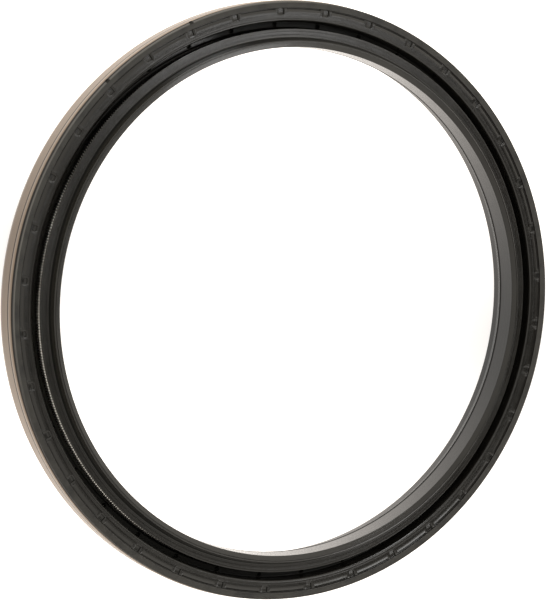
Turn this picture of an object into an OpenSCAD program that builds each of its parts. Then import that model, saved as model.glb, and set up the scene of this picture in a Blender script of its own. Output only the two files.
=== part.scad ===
// Large radial shaft seal: a drawn steel case, a rubber body moulded round it and a garter
// spring. It lies on its back face, with the spring side up and the shaft's axis along Z.

/* [Radial build-up] */
// Diameter of the shaft that the lip runs on
shaft_d = 170; // [100:1:260]
// How much smaller the free lip is than the shaft, on the radius
lip_preload = 0.5; // [0.3:0.05:0.8]
// Thickness of the lip head, from its bore to its outer edge
lip_t = 6; // [5.6:0.1:8]
// Gap between the lip head and the rim
cavity_w = 2.6; // [2.2:0.1:5]
// Thickness of the rim, from the cavity to the outside wall
rim_t = 6.9; // [6.4:0.1:9]

/* [Axial build-up] */
// Height of the rim's front face above the back face
rim_w = 12.5; // [11.5:0.1:18]
// Height of the lip's toe above the rim's front face
toe_rise = 2.5; // [1.5:0.1:4]
// Depth of the ledge in the cavity below the rim's front face
ledge_depth = 5.4; // [4.8:0.1:6]
// Height of the sealing edge above the back face
seal_edge_z = 6.6; // [5.6:0.1:8]
// Height of the slot's floor beside the lip's neck above the back face
slot_floor_z = 3.2; // [2.6:0.1:4]

/* [Steel case] */
// Thickness of the case's sheet
sheet_t = 1.5; // [1:0.1:1.5]
// How far the front of the case is rolled in under the rubber
roll_w = 4.5; // [3.5:0.1:5]
// Outside radius of the bend where the wall is rolled in
shoulder_bend = 1.6; // [1.6:0.1:2]
// Thickness of the rubber in front of the rolled-in steel
face_t = 0.8; // [0.7:0.05:1.2]
// Height of the lead-in taper at the back of the outside wall
lead_in_w = 3.6; // [2.5:0.1:4.5]
// Radial depth of the lead-in taper
lead_in_t = 0.9; // [0.3:0.05:1.2]
// Outside radius of the bend between back flange and wall
back_bend = 1.8; // [1.7:0.1:2.4]

/* [Rim face] */
// How far the rubber's outside edge stays inside the steel wall
edge_set_in = 0.4; // [0.3:0.05:0.6]
// Rise of the rubber's outside edge above the face that carries the pockets
edge_rise = 0.3; // [0.15:0.05:0.5]
// Depth of the fine ring line between that face and the outer land
line_depth = 0.25; // [0.15:0.05:0.4]

/* [Rubber skirt] */
// Gap between the shaft and the rubber skirt behind the lip, on the radius
skirt_gap = 1; // [0.7:0.05:1.5]
// Thickness of the rubber that wraps the flange's inner edge
skirt_t = 2.2; // [1.8:0.1:2.8]

/* [Spring] */
// Outside diameter of the spring's coil
coil_d = 2.5; // [2.1:0.1:2.8]
// Clearance between the coil and its groove
coil_clear = 0.05; // [0.02:0.01:0.1]
// Depth of the coil's centre below the rim's front face
coil_depth = 3.3; // [3:0.1:3.6]

/* [Mould marks] */
// Number of mould pins around the ring
pin_n = 36; // [12:1:48]
// Angle of the first mould pin from the X axis
pin_turn = 5.4; // [0:0.1:30]
// Width of a pin pocket in the rim's front face
pocket_d = 2; // [1.4:0.1:2.4]
// Depth of a pin pocket
pocket_depth = 0.5; // [0.3:0.05:0.6]
// Diameter of a pin dimple in the ledge
dimple_d = 1.5; // [0.8:0.1:1.6]
// Depth of a pin dimple in the ledge
dimple_depth = 1.2; // [0.5:0.1:2]
// Radial width of the sunk arcs between the pockets
arc_w = 0.9; // [0.5:0.05:1.1]
// Depth of the sunk arcs
arc_depth = 0.55; // [0.3:0.05:0.6]
// Length of rubber left between two sunk arcs, where a pocket sits
arc_gap = 4.2; // [3.4:0.1:6]
// Width of a tab of flash left on the rubber's outside edge
tab_w = 0.9; // [0.5:0.1:1.5]

/* [Hidden] */
$fn = 96;

// Radii, worked outwards from the shaft
bore_r = shaft_d / 2 - lip_preload;
lip_r = bore_r + lip_t;
cavity_r = lip_r + cavity_w;
housing_r = cavity_r + rim_t;
skirt_r = shaft_d / 2 + skirt_gap;
flange_r = skirt_r + skirt_t;

// Heights, worked upwards from the back face
toe_z = rim_w + toe_rise;
ledge_z = rim_w - ledge_depth;
edge_z = rim_w + edge_rise;
shoulder_z = rim_w - face_t;
bare_w = shoulder_z - shoulder_bend;

// Case: inside face of the wall, edge of the rolled-in front and the line scribed by the rolling
mid_t = sheet_t / 2;
wall_in_r = housing_r - sheet_t;
taper_r = housing_r - lead_in_t;
roll_r = housing_r - roll_w;
scribe_t = 0.12;
scribe_w = 0.3;
scribe_set_off = 0.85;
scribe_z = bare_w - scribe_set_off;

// Lead-in taper: its angle, and its two corners at a depth t inside the sheet
taper_a = atan(lead_in_t / lead_in_w);
function taper_foot_r(t) = taper_r + t * (tan(taper_a) - 1 / cos(taper_a));
function taper_top_z(t) = lead_in_w + t * tan(taper_a / 2);

// Rubber: small rounds, outside edge and the seam where rubber meets the shoulder bend
fine_round = 0.1;
small_round = 0.2;
edge_round = 0.4;
skirt_lift = 0.25;
edge_r = housing_r - edge_set_in;
seam_a = 60;
bend_r = housing_r - shoulder_bend;

// Lip toe: a raised bead with a sloping flank, a narrow crown and a fall towards the bore
toe_t = 2.1;
flank_t = 1;
crown_t = 0.6;
toe_fall = 0.75;
edge_step_t = 0.35;
edge_step_w = 0.2;

// Garter spring in its groove, and the slot that frees the neck below it
coil_inset = 1.1;
coil_r = lip_r - coil_inset;
coil_z = rim_w - coil_depth;
groove_r = coil_d / 2 + coil_clear;
groove_lower_a = 300;
groove_upper_a = 75;
slot_set_off = 0.5;
slot_w = 2;
slot_r = lip_r + slot_set_off;
neck_flare_w = 0.8;
neck_top_z = coil_z - groove_r - neck_flare_w;

// Mould marks, and the ring line that runs past them
arc_in = 2.7;
arc_r = housing_r - arc_in;
line_set_off = 0.1;
line_r = arc_r + line_set_off;
line_w = 0.3;
line_lift = 0.1;
pocket_set_in = 1.05;
pocket_r = arc_r - pocket_set_in;
dimple_r = (slot_r + cavity_r) / 2;
tab_pins = [21, 23];
tab_turn = -0.8;
tab_t = 0.35;
tab_root = 0.3;
tab_lift = 0.2;
tab_h = 0.5;
overcut = 0.2;

// Steps in a rounded corner and round the groove, and the most of its share that a round takes
round_steps = 6;
groove_steps = 24;
most_share = 0.98;

// Points of an arc about a centre, from angle a0 to a1
function arc(centre, radius, a0, a1, steps) =
    [for (i = [0 : steps])
        let (a = a0 + (a1 - a0) * i / steps)
        centre + radius * [cos(a), sin(a)]];

// Points that round the corner b between a and c, each [radius, height, round];
// a side too short for the rounds at both its ends is shared between them
function corner(a, b, c) =
    let (
        to_a = flat(a) - flat(b),
        to_c = flat(c) - flat(b),
        u = to_a / norm(to_a),
        v = to_c / norm(to_c),
        half = acos(u * v) / 2,
        share_a = norm(to_a) * b[2] / (b[2] + a[2]),
        share_c = norm(to_c) * b[2] / (b[2] + c[2]),
        reach = min(b[2] / tan(half), most_share * share_a, most_share * share_c),
        fit = reach * tan(half),
        centre = flat(b) + (u + v) / norm(u + v) * fit / sin(half),
        from = flat(b) + u * reach - centre,
        to = flat(b) + v * reach - centre,
        a0 = atan2(from[1], from[0]),
        turn = atan2(from[0] * to[1] - from[1] * to[0], from * to)
    )
    arc(centre, fit, a0, a0 + turn, round_steps);

// A corner's point without its round
function flat(p) = [p[0], p[1]];

// Closed outline of [radius, height, round] corners, with each round put in
function rounded(path) =
    let (n = len(path))
    [for (i = [0 : n - 1])
        each path[i][2] <= 0 ? [flat(path[i])]
            : corner(path[(i + n - 1) % n], path[i], path[(i + 1) % n])];

// Arc points as unrounded corners of such an outline
function plain(points) = [for (p = points) [p[0], p[1], 0]];

// Section of the case: flange, lead-in taper, wall, scribed line, shoulder and rolled-in front
module case_section() {
    polygon(rounded([
        [flange_r, 0, 0],
        [taper_r, 0, back_bend],
        [housing_r, lead_in_w, 0],
        [housing_r, scribe_z - scribe_w, 0],
        [housing_r - scribe_t, scribe_z - scribe_w / 2, 0],
        [housing_r, scribe_z, 0],
        [housing_r, shoulder_z, shoulder_bend],
        [roll_r, shoulder_z, fine_round],
        [roll_r, shoulder_z - sheet_t, fine_round],
        [wall_in_r, shoulder_z - sheet_t, shoulder_bend - sheet_t],
        [wall_in_r, taper_top_z(sheet_t), 0],
        [taper_foot_r(sheet_t), sheet_t, back_bend - sheet_t],
        [flange_r, sheet_t, 0]
    ]));
}

// Outline of the moulding; where steel backs it, its edge runs inside the sheet
module moulding_outline() {
    polygon(rounded(concat(
        // skirt, then inside the sheet of flange and wall to the seam on the shoulder bend
        [
            [skirt_r, skirt_lift, edge_round],
            [flange_r, skirt_lift, 0],
            [flange_r, mid_t, 0],
            [taper_foot_r(mid_t), mid_t, back_bend - mid_t],
            [housing_r - mid_t, taper_top_z(mid_t), 0],
            [housing_r - mid_t, bare_w, 0]
        ],
        plain([
            [bend_r, bare_w] + (shoulder_bend - mid_t) * [cos(seam_a), sin(seam_a)],
            [bend_r, bare_w] + shoulder_bend * [cos(seam_a), sin(seam_a)]
        ]),
        // outside edge, outer land, ring line, front face and ledge of the cavity
        [
            [edge_r, shoulder_z, fine_round],
            [edge_r, edge_z, small_round],
            [line_r, rim_w + line_lift, fine_round],
            [line_r, rim_w - line_depth, 0],
            [line_r - line_w, rim_w, fine_round],
            [cavity_r, rim_w, edge_round],
            [cavity_r, ledge_z, small_round],
            [slot_r, ledge_z, small_round]
        ],
        // slot beside the lip's neck, then the groove round the spring
        [
            [slot_r, slot_floor_z, slot_w / 2],
            [slot_r - slot_w, slot_floor_z, slot_w / 2],
            [slot_r - slot_w, neck_top_z, small_round]
        ],
        plain(arc([coil_r, coil_z], groove_r, groove_lower_a, groove_upper_a, groove_steps)),
        // lip head, raised toe, bore, sealing edge and air-side cone
        [
            [lip_r, rim_w, small_round],
            [bore_r + toe_t + flank_t, rim_w, edge_round],
            [bore_r + toe_t, toe_z, edge_round],
            [bore_r + toe_t - crown_t, toe_z, edge_round],
            [bore_r, toe_z - toe_fall, small_round],
            [bore_r, seal_edge_z, 0],
            [bore_r + edge_step_t, seal_edge_z - edge_step_w, 0],
            [skirt_r, slot_floor_z, edge_round]
        ]
    )));
}

// One pocket: round at its inner end, open towards the circle of the sunk arcs
module rim_pocket() {
    translate([0, 0, rim_w - pocket_depth])
        linear_extrude(pocket_depth + overcut) {
            translate([pocket_r, 0])
                circle(d = pocket_d);
            translate([pocket_r, -pocket_d / 2])
                square([arc_r - pocket_r, pocket_d]);
        }
}

// One sunk arc between two pockets: steep on its outer side, with a floor that rises inwards
module sunk_arc() {
    gap_a = arc_gap / arc_r * 180 / PI;
    rise = arc_depth / arc_w;
    rotate([0, 0, gap_a / 2])
        rotate_extrude(angle = 360 / pin_n - gap_a)
            polygon([
                [arc_r, rim_w - arc_depth],
                [arc_r, rim_w + overcut],
                [arc_r - arc_w - overcut / rise, rim_w + overcut]
            ]);
}

// One dimple in the ledge of the cavity
module ledge_dimple() {
    translate([dimple_r, 0, ledge_z - dimple_depth])
        cylinder(d = dimple_d, h = dimple_depth + overcut);
}

// One tab of flash left on the rubber's outside edge
module flash_tab() {
    translate([edge_r - tab_root, -tab_w / 2, shoulder_z + tab_lift])
        cube([tab_root + tab_t, tab_w, tab_h]);
}

module rubber_body() {
    color("#2d2d2c") {
        difference() {
            rotate_extrude()
                difference() {
                    moulding_outline();
                    case_section();
                }
            for (i = [0 : pin_n - 1])
                rotate([0, 0, pin_turn + i * 360 / pin_n]) {
                    rim_pocket();
                    sunk_arc();
                    ledge_dimple();
                }
        }
        for (i = tab_pins)
            rotate([0, 0, pin_turn + tab_turn + i * 360 / pin_n])
                flash_tab();
    }
}

module case_ring() {
    color("#a8927c")
        rotate_extrude()
            case_section();
}

module garter_spring() {
    color("#b9b9b6")
        translate([0, 0, coil_z])
            rotate_extrude()
                translate([coil_r, 0])
                    circle(d = coil_d);
}

rubber_body();
case_ring();
garter_spring();
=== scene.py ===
import bpy
import numpy as np
from mathutils import Matrix, Vector


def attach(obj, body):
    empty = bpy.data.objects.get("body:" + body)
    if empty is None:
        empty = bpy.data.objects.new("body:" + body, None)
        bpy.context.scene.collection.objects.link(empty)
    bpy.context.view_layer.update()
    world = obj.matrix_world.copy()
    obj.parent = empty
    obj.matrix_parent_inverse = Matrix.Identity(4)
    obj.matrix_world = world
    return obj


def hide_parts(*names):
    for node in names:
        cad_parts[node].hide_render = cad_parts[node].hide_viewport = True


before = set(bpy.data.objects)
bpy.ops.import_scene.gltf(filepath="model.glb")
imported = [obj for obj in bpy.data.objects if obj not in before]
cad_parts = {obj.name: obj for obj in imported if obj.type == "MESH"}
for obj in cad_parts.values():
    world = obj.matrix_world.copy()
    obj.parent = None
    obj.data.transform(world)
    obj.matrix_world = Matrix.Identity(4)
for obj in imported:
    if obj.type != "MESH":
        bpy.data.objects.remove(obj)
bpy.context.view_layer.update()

millimetre = 0.001


# Shader maths: wraps a node's socket, so that an expression on it adds Math nodes
class Field:
    def __init__(self, tree, socket):
        self.tree = tree
        self.socket = socket

    # any node: its type, its settings first, then values or links for its sockets
    def make(self, kind, settings=None, inputs=None, output=0):
        node = self.tree.nodes.new(kind)
        for name, value in (settings or {}).items():
            setattr(node, name, value)
        for name, value in (inputs or {}).items():
            if isinstance(value, Field):
                self.tree.links.new(value.socket, node.inputs[name])
            else:
                node.inputs[name].default_value = value
        return Field(self.tree, node.outputs[output])

    def math(self, operation, *values):
        return self.make("ShaderNodeMath", {"operation": operation}, dict(enumerate(values)))

    def __add__(self, other):
        return self.math("ADD", self, other)

    def __radd__(self, other):
        return self.math("ADD", other, self)

    def __sub__(self, other):
        return self.math("SUBTRACT", self, other)

    def __rsub__(self, other):
        return self.math("SUBTRACT", other, self)

    def __mul__(self, other):
        return self.math("MULTIPLY", self, other)

    def __rmul__(self, other):
        return self.math("MULTIPLY", other, self)

    def __truediv__(self, other):
        return self.math("DIVIDE", self, other)

    def __rtruediv__(self, other):
        return self.math("DIVIDE", other, self)

    # x, y and z of a vector
    def parts(self):
        split = self.make("ShaderNodeSeparateXYZ", None, {"Vector": self})
        return [Field(self.tree, socket) for socket in split.socket.node.outputs]

    # 0 below low, 1 above high, smooth between
    def rise(self, low, high):
        return self.make(
            "ShaderNodeMapRange",
            {"interpolation_type": "SMOOTHSTEP"},
            {"Value": self, "From Min": low, "From Max": high},
        )

    # 1 between low and high, with soft edges
    def band(self, low, high, soft):
        return self.rise(low - soft, low) * (1 - self.rise(high, high + soft))

    # mixes two colours by this value
    def colours(self, first, second):
        return self.make(
            "ShaderNodeMix",
            {"data_type": "RGBA"},
            {"Factor": self, 6: first, 7: second},
            output=2,
        )


# A new material: its shader node, its Object coordinates, and from them radius and height in mm
def newMaterial(name, settings):
    material = bpy.data.materials.new(name)
    material.use_nodes = True
    tree = material.node_tree
    shader = tree.nodes["Principled BSDF"]
    for socket, value in settings.items():
        shader.inputs[socket].default_value = value
    place = Field(tree, tree.nodes.new("ShaderNodeTexCoord").outputs["Object"])
    x, y, z = place.parts()
    squared = x * x + y * y
    radius = squared.math("SQRT", squared) * (1 / millimetre)
    return material, shader, place, radius, z * (1 / millimetre)


# Noise that changes fast across the ring's section and slowly round it, as turned or rubbed marks do
def turnedMarks(place, radius, height, across, around):
    return place.make(
        "ShaderNodeTexNoise",
        {"noise_dimensions": "4D"},
        {"Vector": place, "W": (radius + 0.7 * height) * across, "Scale": around, "Detail": 2.0},
    )


# Cosine of the angle round the axis between a point and a direction given in degrees
def facing(place, radius, degrees):
    x, y = place.parts()[:2]
    turn = np.radians(degrees)
    return (x * np.cos(turn) + y * np.sin(turn)) / (radius * millimetre)


def feed(shader, socket, field):
    field.tree.links.new(field.socket, shader.inputs[socket])


# Bump from a height in millimetres
def bumpFrom(field, strength):
    return field.make(
        "ShaderNodeBump",
        None,
        {"Height": field, "Distance": millimetre, "Strength": strength},
    )


# Rounds a closed path of (radius, height, round, steps) corners: the arc that touches both sides,
# and a side too short for the rounds at both its ends is shared between them.
# Gives the points and the number of each corner's first point.
def roundedPath(corners):
    mostOfSide, tiny = 0.98, 1e-9
    table = np.array(corners, float)
    here, size, steps = table[:, :2], table[:, 2], np.maximum(table[:, 3], 1)
    toLast, toNext = np.roll(here, 1, 0) - here, np.roll(here, -1, 0) - here
    lastLength, nextLength = np.linalg.norm(toLast, axis=1), np.linalg.norm(toNext, axis=1)
    u, v = toLast / lastLength[:, None], toNext / nextLength[:, None]
    half = np.arccos(np.clip((u * v).sum(1), -1, 1)) / 2
    lastShare = lastLength * size / np.maximum(size + np.roll(size, 1), tiny)
    nextShare = nextLength * size / np.maximum(size + np.roll(size, -1), tiny)
    reach = np.minimum(size / np.tan(half), mostOfSide * np.minimum(lastShare, nextShare))
    fit = reach * np.tan(half)
    middle = u + v
    middle = middle / np.maximum(np.linalg.norm(middle, axis=1), tiny)[:, None]
    centre = here + middle * (fit / np.sin(half))[:, None]
    start, end = here + u * reach[:, None] - centre, here + v * reach[:, None] - centre
    turn = np.arctan2(start[:, 0] * end[:, 1] - start[:, 1] * end[:, 0], (start * end).sum(1))
    count = np.arange(int(steps.max()) + 1)
    share = np.minimum(count[None, :] / steps[:, None], 1)
    angle = np.arctan2(start[:, 1], start[:, 0])[:, None] + turn[:, None] * share
    arcs = centre[:, None] + fit[:, None, None] * np.stack([np.cos(angle), np.sin(angle)], -1)
    rounded = (size > 0)[:, None]
    arcs = np.where(rounded[..., None], arcs, here[:, None])
    kept = (count[None, :] <= steps[:, None]) & (rounded | (count[None, :] == 0))
    firsts = np.concatenate([[0], np.cumsum(kept.sum(1))[:-1]])
    return arcs[kept], firsts


# Faces of a grid that closes on itself both ways: row i to i + 1 along the section, column j to
# j + 1 round the axis
def gridFaces(numbers):
    nextColumn = np.roll(numbers, -1, 1)
    return np.stack([numbers, nextColumn, np.roll(nextColumn, -1, 0), np.roll(numbers, -1, 0)], -1)


# Points of a section turned round the axis: (radius cos angle, radius sin angle, height)
def turnedPoints(radius, height, angle):
    return np.stack([radius * np.cos(angle), radius * np.sin(angle), height + 0 * angle], -1)


# Puts points in mm and four-sided faces into a mesh. Each point's normal is the sum of the area
# vectors of the faces that meet there, so wide flat faces stay flat beside small rounds.
def addPiece(name, points, faces, material, node):
    used, faces = np.unique(faces, return_inverse=True)
    points, faces = points[used] * millimetre, faces.reshape(-1, 4)
    corner = points[faces]
    area = np.cross(corner[:, 2] - corner[:, 0], corner[:, 3] - corner[:, 1])
    normals = np.zeros_like(points)
    for side in range(4):
        np.add.at(normals, faces[:, side], area)
    normals /= np.linalg.norm(normals, axis=1)[:, None]
    mesh = bpy.data.meshes.new(name)
    mesh.from_pydata(points.tolist(), [], faces.tolist())
    mesh.shade_smooth()
    mesh.normals_split_custom_set_from_vertices(normals.tolist())
    mesh.materials.append(material)
    piece = bpy.data.objects.new(name, mesh)
    bpy.context.collection.objects.link(piece)
    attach(piece, "root")
    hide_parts(node)
    print("made", name, "with", len(points), "points and", 2 * len(faces), "triangles")


# Black rubber of the moulding, and the painted light and shade on it
rubberFinishAndPaintedLight = {
    "dark": (0.0048, 0.0045, 0.0038, 1),
    "pale": (0.0100, 0.0092, 0.0076, 1),
    # paler outer land, also used for the painted light on the toe's near flank
    "paleLandAndFlankLight": (0.023, 0.0215, 0.018, 1),  # outer land
    # painted highlight on the outside edge
    "edgeHighlight": (0.09, 0.086, 0.077, 1),  # outside edge
    "shade": (0.010, 0.010, 0.009, 1),  # pockets and lines
    # painted light: lifts the painted shade on the walls of the cavity
    "deep": (0.065, 0.063, 0.056, 1),  # walls of the cavity
    "roughness": 0.17,
    "lineSpacing": 0.9,  # mm between turned lines
    "fineSpacing": 0.28,
    "bump": 0.4,
}

# Where these finishes and the painted light and shade lie: low, high and perhaps a soft edge, in mm of
# radius or, for Up, of height.
# A Turn is a direction round the axis in degrees, a Spread the cosines between which it fades in.
rubberPlaces = {
    "land": (97.35, 97.5),
    "landUp": (12.4, 12.55),
    "bore": (84.55, 84.8),
    "boreLineUp": (6.3, 7.5, 0.1),
    "edge": (99.12, 99.5, 0.12),
    "edgeUp": (12.6, 12.7),
    "edgeTurn": 240,
    "edgeSpread": (0.45, 0.75),
    # painted light on the toe's near flank
    "flankLight": (86.4, 87.2, 0.1),  # on the toe's near flank
    "flankLightUp": (13.2, 14.85, 0.15),
    "flankLightTurn": 270,
    "flankLightSpread": (0.4, 0.9),
    "pocket": (95.1, 97.42, 0.05),
    "pocketUp": (12.35, 12.48),
    "pocketFade": (95.45, 95.8),
    "deep": (88.9, 93.0, 0.1),
    "deepUp": (10.6, 12.0),
    "wallUp": (7.3, 7.6),
    "neck": (89.6, 90.3),
    "ledgeUp": (7.2, 7.8),
    "litTurn": 229,
    "litSpread": (0.93, 0.97),
    "flank": (87.0, 87.7, 0.1),
    "flankUp": (12.52, 13.2, 0.15),
    "seam": (99.2, 99.35),
    "seamUp": (12.5, 12.65),
    "tab": (98.9, 99.1),
    "tabTurns": (214.6, 234.6),
    "tabSpread": (0.999965, 0.99998),
}


def makeRubber():
    at = rubberPlaces
    material, shader, place, radius, height = newMaterial("blackRubber", {"IOR": 1.52})
    mottle = place.make("ShaderNodeTexNoise", None, {"Vector": place, "Scale": 160.0, "Detail": 4.0})
    grain = place.make("ShaderNodeTexNoise", None, {"Vector": place, "Scale": 1500.0, "Detail": 2.0})
    marks = turnedMarks(place, radius, height, 1 / rubberFinishAndPaintedLight["lineSpacing"], 6.0)
    fine = turnedMarks(place, radius, height, 1 / rubberFinishAndPaintedLight["fineSpacing"], 4.0)
    tone = (0.4 * mottle + 0.3 * marks + 0.3 * fine).rise(0.32, 0.68)
    land = radius.rise(*at["land"]) * height.rise(*at["landUp"])
    bore = 1 - radius.rise(*at["bore"])
    # painted highlight on the outside edge, fading in towards one side of the ring
    edge = radius.band(*at["edge"]) * height.rise(*at["edgeUp"])
    edge = edge * facing(place, radius, at["edgeTurn"]).rise(*at["edgeSpread"])
    # painted light on the upper part of the toe's flank, on the near side only
    flankLight = radius.band(*at["flankLight"]) * height.band(*at["flankLightUp"])
    flankLight = flankLight * facing(place, radius, at["flankLightTurn"]).rise(*at["flankLightSpread"])
    colour = tone.colours(rubberFinishAndPaintedLight["dark"], rubberFinishAndPaintedLight["pale"])
    colour = (land * mottle.rise(0.25, 0.6) + 0.8 * flankLight).colours(colour, rubberFinishAndPaintedLight["paleLandAndFlankLight"])
    feed(shader, "Base Color", edge.colours(colour, rubberFinishAndPaintedLight["edgeHighlight"]))
    rough = rubberFinishAndPaintedLight["roughness"] + 0.12 * (mottle - 0.5) + 0.15 * (marks - 0.5) + 0.15 * (fine - 0.5)
    feed(shader, "Roughness", rough + 0.18 * land)
    relief = 0.10 * marks + 0.032 * fine + (0.02 + 0.10 * land) * grain + 0.10 * mottle
    feed(shader, "Normal", bumpFrom(relief, rubberFinishAndPaintedLight["bump"]))

    # painted shade: a dull, dark shader mixed in where shade gathers: inner end of the pockets, cavity
    # apart from its painted lit part, foot of the toe's flank, outside edge above the steel and its tabs,
    # line in the bore
    pockets = radius.band(*at["pocket"]) * (1 - height.rise(*at["pocketUp"]))
    pockets = pockets * (0.55 - 0.5 * radius.rise(*at["pocketFade"]))
    deep = radius.band(*at["deep"]) * (1 - height.rise(*at["deepUp"]))
    walls = height.rise(*at["wallUp"]) + 1 - radius.rise(*at["neck"])
    lit = facing(place, radius, at["litTurn"]).rise(*at["litSpread"])
    cavity = deep * (0.9 - 0.4 * height.rise(*at["ledgeUp"])) * (1 - 0.8 * lit)
    flank = radius.band(*at["flank"]) * height.band(*at["flankUp"])
    seam = radius.rise(*at["seam"]) * (1 - height.rise(*at["seamUp"]))
    tabs = sum(facing(place, radius, turn).rise(*at["tabSpread"]) for turn in at["tabTurns"])
    tab = radius.rise(*at["tab"]) * tabs
    boreLine = bore * height.band(*at["boreLineUp"])
    # painted light: a paler colour on the cavity's walls and neck inside the painted shade
    shadeColour = (deep * walls).colours(rubberFinishAndPaintedLight["shade"], rubberFinishAndPaintedLight["deep"])
    shadeShader = place.make(
        "ShaderNodeBsdfPrincipled",
        None,
        {"Base Color": shadeColour, "Roughness": 0.9, "Specular IOR Level": 0.1},
    )
    satin = Field(place.tree, shader.outputs[0])
    share = 0.85 * (pockets + seam + tab + flank + boreLine) + cavity
    mixed = place.make("ShaderNodeMixShader", None, {0: share, 1: satin, 2: shadeShader})
    feed(place.tree.nodes["Material Output"], "Surface", mixed)
    return material


# Tan coating on the drawn steel case, with painted shade in its scribed line and seam
caseFinishAndShade = {
    "tan": (0.135, 0.082, 0.038, 1),
    "pale": (0.18, 0.126, 0.080, 1),
    # painted shade in the scribed line below the rolled edge and along the seam under the rubber
    "line": (0.012, 0.009, 0.007, 1),  # scribed line below the rolled edge
    "bend": (0.24, 0.18, 0.13, 1),  # rolled edge
    "roughness": 0.32,
    "bump": 0.4,
    "lineSpacing": 1 / 2.2,  # mm
    "bendUp": (9.6, 10.3),  # heights in mm
    "scribeUp": (8.85, 9.35, 0.12),
    "seamUp": (10.95, 11.15),
}


def makeCaseCoat():
    material, shader, place, radius, height = newMaterial("tanCoatedSteel", {"IOR": 1.5})
    marks = turnedMarks(place, radius, height, 1 / caseFinishAndShade["lineSpacing"], 4.0)
    cloud = place.make("ShaderNodeTexNoise", None, {"Vector": place, "Scale": 60.0, "Detail": 3.0})
    tone = (0.6 * marks + 0.4 * cloud).rise(0.32, 0.70)
    coat = tone.colours(caseFinishAndShade["tan"], caseFinishAndShade["pale"])
    coat = height.rise(*caseFinishAndShade["bendUp"]).colours(coat, caseFinishAndShade["bend"])
    # painted shade: dark in the scribed line and along the seam where the rubber meets the steel
    lines = height.band(*caseFinishAndShade["scribeUp"]) + height.rise(*caseFinishAndShade["seamUp"])
    feed(shader, "Base Color", lines.colours(coat, caseFinishAndShade["line"]))
    feed(shader, "Roughness", caseFinishAndShade["roughness"] + 0.2 * (marks - 0.5) + 0.4 * lines)
    feed(shader, "Normal", bumpFrom(0.05 * marks, caseFinishAndShade["bump"]))
    return material


# Bright wire of the garter spring, with painted light and shade on two sides of the ring
springFinishAndPaintedLight = {
    "dull": (0.26, 0.25, 0.235, 1),
    "bright": (0.50, 0.49, 0.47, 1),
    # painted shade on one side of the ring
    "shadedSide": (0.08, 0.077, 0.072, 1),  # part of the ring
    "shadedSideTurn": 230,  # degrees round the axis
    "shadedSideSpread": (0.80, 0.94),
    # painted highlight on another side of the ring
    "highlitSide": (0.92, 0.90, 0.86, 1),  # another part
    "highlitSideTurn": 310,
    "highlitSideSpread": (0.80, 0.92),
    "roughness": 0.3,
}


def makeSpringWire():
    look = springFinishAndPaintedLight
    material, shader, place, radius = newMaterial("springWire", {"Metallic": 1.0})[:4]
    cloud = place.make("ShaderNodeTexNoise", None, {"Vector": place, "Scale": 120.0, "Detail": 3.0})
    wire = cloud.rise(0.3, 0.7).colours(look["dull"], look["bright"])
    # painted highlight on one side of the ring and painted shade on another
    for part in ("highlitSide", "shadedSide"):
        sector = facing(place, radius, look[part + "Turn"]).rise(*look[part + "Spread"])
        wire = sector.colours(wire, look[part])
    feed(shader, "Base Color", wire)
    feed(shader, "Roughness", look["roughness"] + 0.2 * (cloud - 0.5))
    return material


# Drawn steel case: its section, from the flange round the outside wall to the rolled-in front and back
caseRing = {
    "columns": 720,
    "section": [
        (88.2, 0, 0.12, 2),
        (99.1, 0, 1.8, 8),
        (100, 3.6, 1.2, 4),
        (100, 8.95, 0, 0),
        (99.88, 9.1, 0, 0),
        (100, 9.25, 0, 0),
        (100, 11.7, 1.6, 10),
        (95.5, 11.7, 0.1, 2),
        (95.5, 10.2, 0.1, 2),
        (98.5, 10.2, 0.1, 2),
        (98.5, 3.785, 0, 0),
        (97.93, 1.5, 0.3, 2),
        (88.2, 1.5, 0, 0),
    ],
}


# The section turned round the axis in even steps
def makeCase(material):
    section = roundedPath(caseRing["section"])[0]
    angle = np.linspace(0, 2 * np.pi, caseRing["columns"], endpoint=False)[None, :]
    points = turnedPoints(section[:, :1], section[:, 1:], angle)
    numbers = np.arange(points.shape[0] * points.shape[1]).reshape(points.shape[:2])
    faces = gridFaces(numbers).reshape(-1, 4)
    addPiece("caseRing", points.reshape(-1, 3), faces, material, "case_ring")


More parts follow.
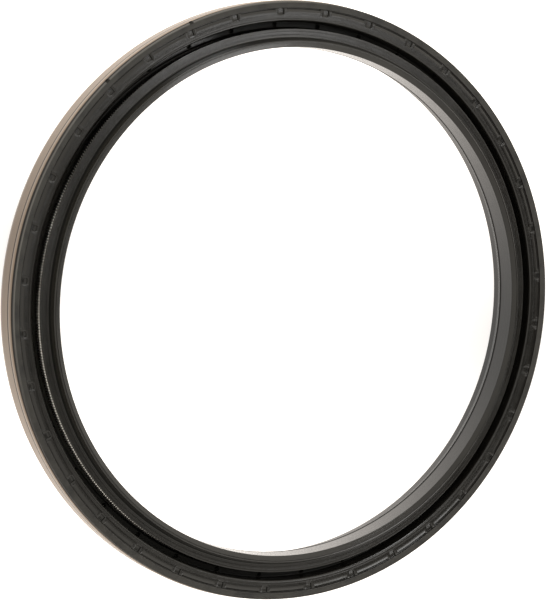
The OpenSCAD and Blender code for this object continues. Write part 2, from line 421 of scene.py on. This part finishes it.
# Rubber moulding: a section of named corners (radius, height, round, steps)
rubberBody = {
    "pins": 36,
    "firstPin": 5.4,  # degrees from the X axis
    "pinCircle": 96.25,
    # distances of the columns from a pin's middle, along the pin circle
    "columns": [0, 0.45, 0.72, 0.80, 0.95, 1.05, 1.75, 1.80, 2.03, 2.17, 5.0],
    "pocketHalf": 1.0,
    "pocketRim": 1.05,
    "pocketSlope": 0.25,
    "pocketWall": 0.1,
    "pocketIn": 95.25,
    "pocketCorner": 0.45,
    "pocketRound": 0.22,
    "pocketFloor": 12.0,
    "arcFrom": 2.1,
    "arcIn": 96.4,
    "arcSlope": 0.55 / 0.9,
    "faceHeight": 12.5,
    "dimpleCircle": 92.05,
    "dimpleHalf": 0.75,
    "dimpleDepth": 1.2,
    "dimpleWall": 0.03,
    # lip edge: direction and width in degrees, then the offset
    "wander": [(330, 16, -0.18), (280, 24, 0.24), (228, 24, 0.30), (150, 45, 0.30)],
    "wanderShares": (0.3, 0.6, 0.9, 1, 1, 1),  # from the third row below the lip edge
    "tabs": [21, 23],
    "tabSpan": (-1.76, -0.94),  # along the pin circle, from the pin
    "tabOut": 99.95,
    "section": {
        "skirtFoot": (86, 0.25, 0.4, 3),
        "flangeFoot": (88.2, 0.25, 0, 0),
        "flangeTop": (88.2, 1.5, 0, 0),
        "taperFoot": (97.93, 1.5, 0.3, 2),
        "taperTop": (98.5, 3.785, 0, 0),
        "wallTop": (98.5, 10.2, 0.1, 2),
        "rollBack": (95.5, 10.2, 0.1, 2),
        "rollFront": (95.5, 11.7, 0.1, 2),
        "bendTop": (98.4, 11.7, 0, 0),
        "bendMid": (98.814, 11.645, 0, 0),
        "seam": (99.2, 11.486, 0, 0),
        "edgeFoot": (99.6, 11.7, 0.1, 2),
        "tabBelow": (99.6, 11.85, 0, 0),
        "tabFoot": (99.6, 11.9, 0, 0),
        "tabTop": (99.6, 12.4, 0, 0),
        "tabAbove": (99.6, 12.45, 0, 0),
        "edgeTop": (99.6, 12.8, 0.2, 3),
        "lineTop": (97.4, 12.6, 0.1, 2),
        "lineFoot": (97.385, 12.25, 0, 0),
        "arcTop": (97.33, 12.308, 0, 0),
        "arcFoot": (97.27, 12.358, 0, 0),
        "faceOut": (97.1, 12.5, 0, 0),
        "faceMid": (96.4, 12.5, 0, 0),
        "pocketFoot": (95.4, 12.5, 0, 0),
        "pocketTop": (95.2, 12.5, 0, 0),
        "line1a": (94.83, 12.5, 0, 0),
        "line1b": (94.75, 12.455, 0, 0),
        "line1c": (94.67, 12.5, 0, 0),
        "line2a": (94.48, 12.5, 0, 0),
        "line2b": (94.40, 12.46, 0, 0),
        "line2c": (94.32, 12.5, 0, 0),
        "rimRound": (93.1, 12.5, 0.8, 6),
        "ledgeFoot": (93.1, 7.1, 0.2, 2),
        "dimpleOutTop": (92.85, 7.1, 0, 0),
        "dimpleOutFoot": (92.75, 7.1, 0, 0),
        "dimpleMid": (92.05, 7.1, 0, 0),
        "dimpleInFoot": (91.35, 7.1, 0, 0),
        "dimpleInTop": (91.25, 7.1, 0, 0),
        "ledgeEdge": (91, 7.1, 0.2, 2),
        "slotOut": (91, 3.2, 1, 4),
        "slotIn": (89, 3.2, 1, 4),
        "neckTop": (89, 7.1, 0.2, 2),
        "groove": None,
        "lipEdge": (90.5, 12.5, 0.2, 2),
        "line3a": (89.48, 12.5, 0, 0),
        "line3b": (89.40, 12.46, 0, 0),
        "line3c": (89.32, 12.5, 0, 0),
        "line4a": (88.58, 12.5, 0, 0),
        "line4b": (88.50, 12.46, 0, 0),
        "line4c": (88.42, 12.5, 0, 0),
        "flankFoot": (87.6, 12.5, 0.4, 3),
        "toeOut": (86.6, 15, 0.6, 4),
        "toeIn": (86.0, 15, 0.4, 3),
        "boreTop": (84.5, 14.25, 0.2, 2),
        "boreLineTop": (84.5, 7.05, 0, 0),
        "boreLine": (84.62, 6.9, 0, 0),
        "boreLineFoot": (84.5, 6.72, 0, 0),
        "sealEdge": (84.5, 6.6, 0, 0),
        "edgeStep": (84.85, 6.4, 0, 0),
        "coneFoot": (86, 3.2, 0.4, 3),
    },
    "grooveCentre": (89.4, 9.2),
    "grooveRadius": 1.3,
    "grooveSpan": (300, 75),
    "grooveSteps": 11,
}


# The section turned round the axis, with rows that bend round the pockets and dimples. A pocket
# drops its rows to one flat floor; a sunk arc falls evenly to its outer wall.
def makeRubberBody(material):
    size = rubberBody
    span = np.radians(np.linspace(*size["grooveSpan"], size["grooveSteps"] + 1))
    circle = np.stack([np.cos(span), np.sin(span)], -1)
    grooveArc = np.array(size["grooveCentre"]) + size["grooveRadius"] * circle
    corners, first = [], {}
    for name, corner in size["section"].items():
        first[name] = len(corners)
        corners += [corner] if corner else [(*point, 0, 0) for point in grooveArc]
    section, firsts = roundedPath(corners)
    row = {name: firsts[number] for name, number in first.items()}

    # columns: the same distances each side of every pin, and one half-way to the next pin
    pitch = 2 * np.pi / size["pins"]
    side = np.array(size["columns"])
    offset = np.concatenate([-side[:0:-1], side, [pitch / 2 * size["pinCircle"]]])
    pin = np.arange(size["pins"])[:, None]
    pinAngle = np.radians(size["firstPin"]) + pin * pitch
    angle = (pinAngle + offset[None, :] / size["pinCircle"]).reshape(1, -1)
    across = np.tile(np.abs(offset), size["pins"])
    along = np.tile(offset, size["pins"])
    pinOf = np.repeat(np.arange(size["pins"]), len(offset))

    radius = np.repeat(section[:, :1], angle.shape[1], 1)
    height = np.repeat(section[:, 1:], angle.shape[1], 1)

    # pockets with a rounded inner end
    sunk = np.clip((size["pocketRim"] - across) / size["pocketSlope"], 0, 1)
    reach = np.clip((across - size["pocketHalf"] + size["pocketCorner"]) / size["pocketCorner"], 0, 1)
    end = size["pocketIn"] + size["pocketRound"] * (1 - np.sqrt(1 - reach**2))
    radius[row["pocketTop"]] = end - size["pocketWall"]
    radius[row["pocketFoot"]] = end + size["pocketWall"]
    for name in ("arcFoot", "faceOut", "faceMid", "pocketFoot"):
        height[row[name]] += sunk * (size["pocketFloor"] - height[row[name]])

    # sunk arcs between the pockets
    inArc = across > size["arcFrom"]
    for name in ("arcFoot", "faceOut"):
        floor = size["faceHeight"] - size["arcSlope"] * (radius[row[name]] - size["arcIn"])
        height[row[name]] = np.where(inArc, floor, height[row[name]])

    # round dimples in the ledge
    scaled = across * size["dimpleCircle"] / size["pinCircle"]
    inDimple = scaled < size["dimpleHalf"]
    edge = scaled[inDimple].max()
    chord = np.sqrt(size["dimpleHalf"] ** 2 - np.minimum(scaled, edge) ** 2)
    for name, way, wall in (
        ("dimpleOutTop", 1, size["dimpleWall"]),
        ("dimpleOutFoot", 1, -size["dimpleWall"]),
        ("dimpleInFoot", -1, -size["dimpleWall"]),
        ("dimpleInTop", -1, size["dimpleWall"]),
    ):
        radius[row[name]] = size["dimpleCircle"] + way * (chord + wall)
    for name in ("dimpleOutFoot", "dimpleMid", "dimpleInFoot"):
        height[row[name]] -= np.where(inDimple, size["dimpleDepth"], 0)

    # lip edge that wanders a little: a bell of offset round each direction, less down in the groove
    for middle, width, shift in size["wander"]:
        away = np.degrees(np.angle(np.exp(1j * (angle[0] - np.radians(middle)))))
        bell = shift * np.exp(-((away / width) ** 2))
        for step, share in enumerate(size["wanderShares"], -3):
            radius[row["lipEdge"] + step] += share * bell

    # two tabs of flash on the outside edge
    inTab = np.isin(pinOf, size["tabs"]) & (along > size["tabSpan"][0]) & (along < size["tabSpan"][1])
    for name in ("tabFoot", "tabTop"):
        radius[row[name]] = np.where(inTab, size["tabOut"], radius[row[name]])

    points = turnedPoints(radius, height, angle)
    numbers = np.arange(radius.size).reshape(radius.shape)
    faces = gridFaces(numbers).reshape(-1, 4)
    addPiece("rubberBody", points.reshape(-1, 3), faces, material, "rubber_body")


# Garter spring: a close-wound coil bent into a ring
garterSpring = {
    "ringRadius": 89.4,
    "height": 9.2,
    "coil": 2.5,
    "wire": 0.72,
    "turns": 640,
    "stepsPerTurn": 12,
    "sides": 6,
}


# The wire's middle is ring + coil radius * (cos turn outwards + sin turn up); the wire is a small
# circle of points across its path, set out from the coil's own outward direction.
def makeSpring(material):
    size = garterSpring
    count = size["turns"] * size["stepsPerTurn"]
    coil = (size["coil"] - size["wire"]) / 2
    angle = np.linspace(0, 2 * np.pi, count, endpoint=False)
    turn = angle * size["turns"]
    out = np.stack([np.cos(angle), np.sin(angle), 0 * angle], -1)
    along = np.stack([-np.sin(angle), np.cos(angle), 0 * angle], -1)
    up = np.array([0, 0, 1.0])
    outward = np.cos(turn)[:, None] * out + np.sin(turn)[:, None] * up
    middle = size["ringRadius"] * out + size["height"] * up + coil * outward
    swirl = -np.sin(turn)[:, None] * out + np.cos(turn)[:, None] * up
    ring = (size["ringRadius"] + coil * np.cos(turn))[:, None] * along
    path = ring + coil * size["turns"] * swirl
    path /= np.linalg.norm(path, axis=1)[:, None]
    acrossWire = np.cross(path, outward)
    sweep = np.linspace(0, 2 * np.pi, size["sides"], endpoint=False)
    cosine, sine = np.cos(sweep)[None, :, None], np.sin(sweep)[None, :, None]
    circle = cosine * outward[:, None] + sine * acrossWire[:, None]
    points = middle[:, None] + size["wire"] / 2 * circle
    numbers = np.arange(count * size["sides"]).reshape(count, size["sides"])
    faces = gridFaces(numbers).reshape(-1, 4)
    addPiece("garterSpring", points.reshape(-1, 3), faces, material, "garter_spring")


makeCase(makeCaseCoat())
makeRubberBody(makeRubber())
makeSpring(makeSpringWire())

# Floor: a pale sheet under the ring whose glow is painted light, as from a light table, brighter to both
# sides than in the middle
floorSheet = {
    "half": 3.0,
    "height": -0.00005,  # just clear of the flange
    "colour": (0.25, 0.25, 0.25, 1),
    "light": (1, 0.94, 0.88, 1),
    "dim": (0.5, 0.485, 0.47, 1),
    "dimHalf": 0.08,
    "glow": 1.75,
}


def makeFloor():
    half, height = floorSheet["half"], floorSheet["height"]
    corners = [(-half, -half, height), (half, -half, height), (half, half, height), (-half, half, height)]
    mesh = bpy.data.meshes.new("floorSheet")
    mesh.from_pydata(corners, [], [(0, 1, 2, 3)])
    settings = {
        "Roughness": 0.7,
        "Base Color": floorSheet["colour"],
        "Emission Strength": floorSheet["glow"],
    }
    material, shader, place = newMaterial("paleSheet", settings)[:3]
    x = place.parts()[0]
    aside = x.math("ABSOLUTE", x).rise(0.0, floorSheet["dimHalf"])
    feed(shader, "Emission Color", aside.colours(floorSheet["dim"], floorSheet["light"]))
    mesh.materials.append(material)
    sheet = bpy.data.objects.new("floorSheet", mesh)
    bpy.context.collection.objects.link(sheet)
    print("floor laid")


makeFloor()

# Soft studio light: a warm white world with darker and lighter patches, and three lamps
studio = {
    "world": (1.0, 0.95, 0.86, 1),
    "worldStrength": 1.0,
    "darkAcross": 1.0,
    "darkOverhead": 0.75,
    "darkCorner": 0.8,
    "lightSides": 0.4,
    "darkBehind": 0.75,
    "lamps": [
        {"name": "lowLamp", "place": (0.64, 1.05, 0.67), "size": 0.5, "power": 2.1},
        {"name": "highLamp", "place": (-0.29, 0.60, 1.34), "size": 0.3, "power": 1.0},
        {"name": "edgeLamp", "place": (-1.17, -0.2, 0.63), "size": 0.5, "power": 5.0},
    ],
}

# Edges of the world's patches, as x, y and z of the direction towards them
worldPatches = {
    "acrossX": (0.05, 0.17),
    "acrossY": (0.1, 0.25),
    "acrossZ": (0.2, 0.4),
    "sidesX": (0.3, 0.5),
    "sidesY": (0.1, 0.3),
    "behindY": (0.4, 0.7),
    "behindTop": (0.45, 0.65),
    "behindFoot": (0.03, 0.12),
    "overheadX": (0.05, 0.16),
    "overheadY": (0.2, 0.4, 0.08),
    "lowX": (0.1, 0.3),
    "lowY": (0.5, 0.7),
    "lowTop": (0.15, 0.35),
    "cornerX": (-0.15, 0.0, 0.05),
    "cornerY": (0.5, 0.62, 0.04),
}


def makeLights():
    at = worldPatches
    world = bpy.data.worlds.new("paleWorld")
    world.use_nodes = True
    tree = world.node_tree
    background = tree.nodes["Background"]
    background.inputs["Color"].default_value = studio["world"]
    toward = Field(tree, tree.nodes.new("ShaderNodeTexCoord").outputs["Generated"])
    x, y, z = toward.parts()
    aside = x.math("ABSOLUTE", x)
    across = (1 - aside.rise(*at["acrossX"])) * y.rise(*at["acrossY"]) * z.rise(*at["acrossZ"])
    sides = aside.rise(*at["sidesX"]) * y.rise(*at["sidesY"])
    behind = (0 - y).rise(*at["behindY"]) * (1 - z.rise(*at["behindTop"])) * z.rise(*at["behindFoot"])
    overhead = (1 - aside.rise(*at["overheadX"])) * y.band(*at["overheadY"])
    low = (0 - x).rise(*at["lowX"]) * y.rise(*at["lowY"]) * (1 - z.rise(*at["lowTop"]))
    corner = x.band(*at["cornerX"]) * y.band(*at["cornerY"])
    level = studio["worldStrength"] + studio["lightSides"] * sides + low - studio["darkBehind"] * behind
    level = level * (1 - studio["darkCorner"] * corner)
    level = level * (1 - studio["darkAcross"] * across) * (1 - studio["darkOverhead"] * overhead)
    feed(background, "Strength", level)
    bpy.context.scene.world = world
    for lamp in studio["lamps"]:
        light = bpy.data.lights.new(lamp["name"], "AREA")
        light.shape = "DISK"
        light.size = lamp["size"]
        light.energy = lamp["power"]
        holder = bpy.data.objects.new(lamp["name"], light)
        holder.location = lamp["place"]
        holder.rotation_euler = Vector(lamp["place"]).to_track_quat("Z", "Y").to_euler()
        bpy.context.collection.objects.link(holder)
    print("lamps set")


makeLights()

# Camera: looks down on the ring from the near side, turned so the near side is at the picture's left
view = {
    "place": (0.00033, -0.34859, 0.65637),
    "tilt": 27.844,
    "roll": 100.858,
    "lens": 132.3,
    "sensor": 36.0,
    "nearest": 0.01,
}


def makeCamera():
    data = bpy.data.cameras.new("photoCamera")
    data.lens = view["lens"]
    data.sensor_width = view["sensor"]
    data.clip_start = view["nearest"]
    camera = bpy.data.objects.new("photoCamera", data)
    tilt, roll = np.radians(view["tilt"]), np.radians(view["roll"])
    camera.matrix_world = (
        Matrix.Translation(view["place"]) @ Matrix.Rotation(tilt, 4, "X") @ Matrix.Rotation(roll, 4, "Z")
    )
    bpy.context.collection.objects.link(camera)
    bpy.context.scene.camera = camera
    bpy.context.scene.view_settings.view_transform = "Standard"
    print("camera set")


makeCamera()
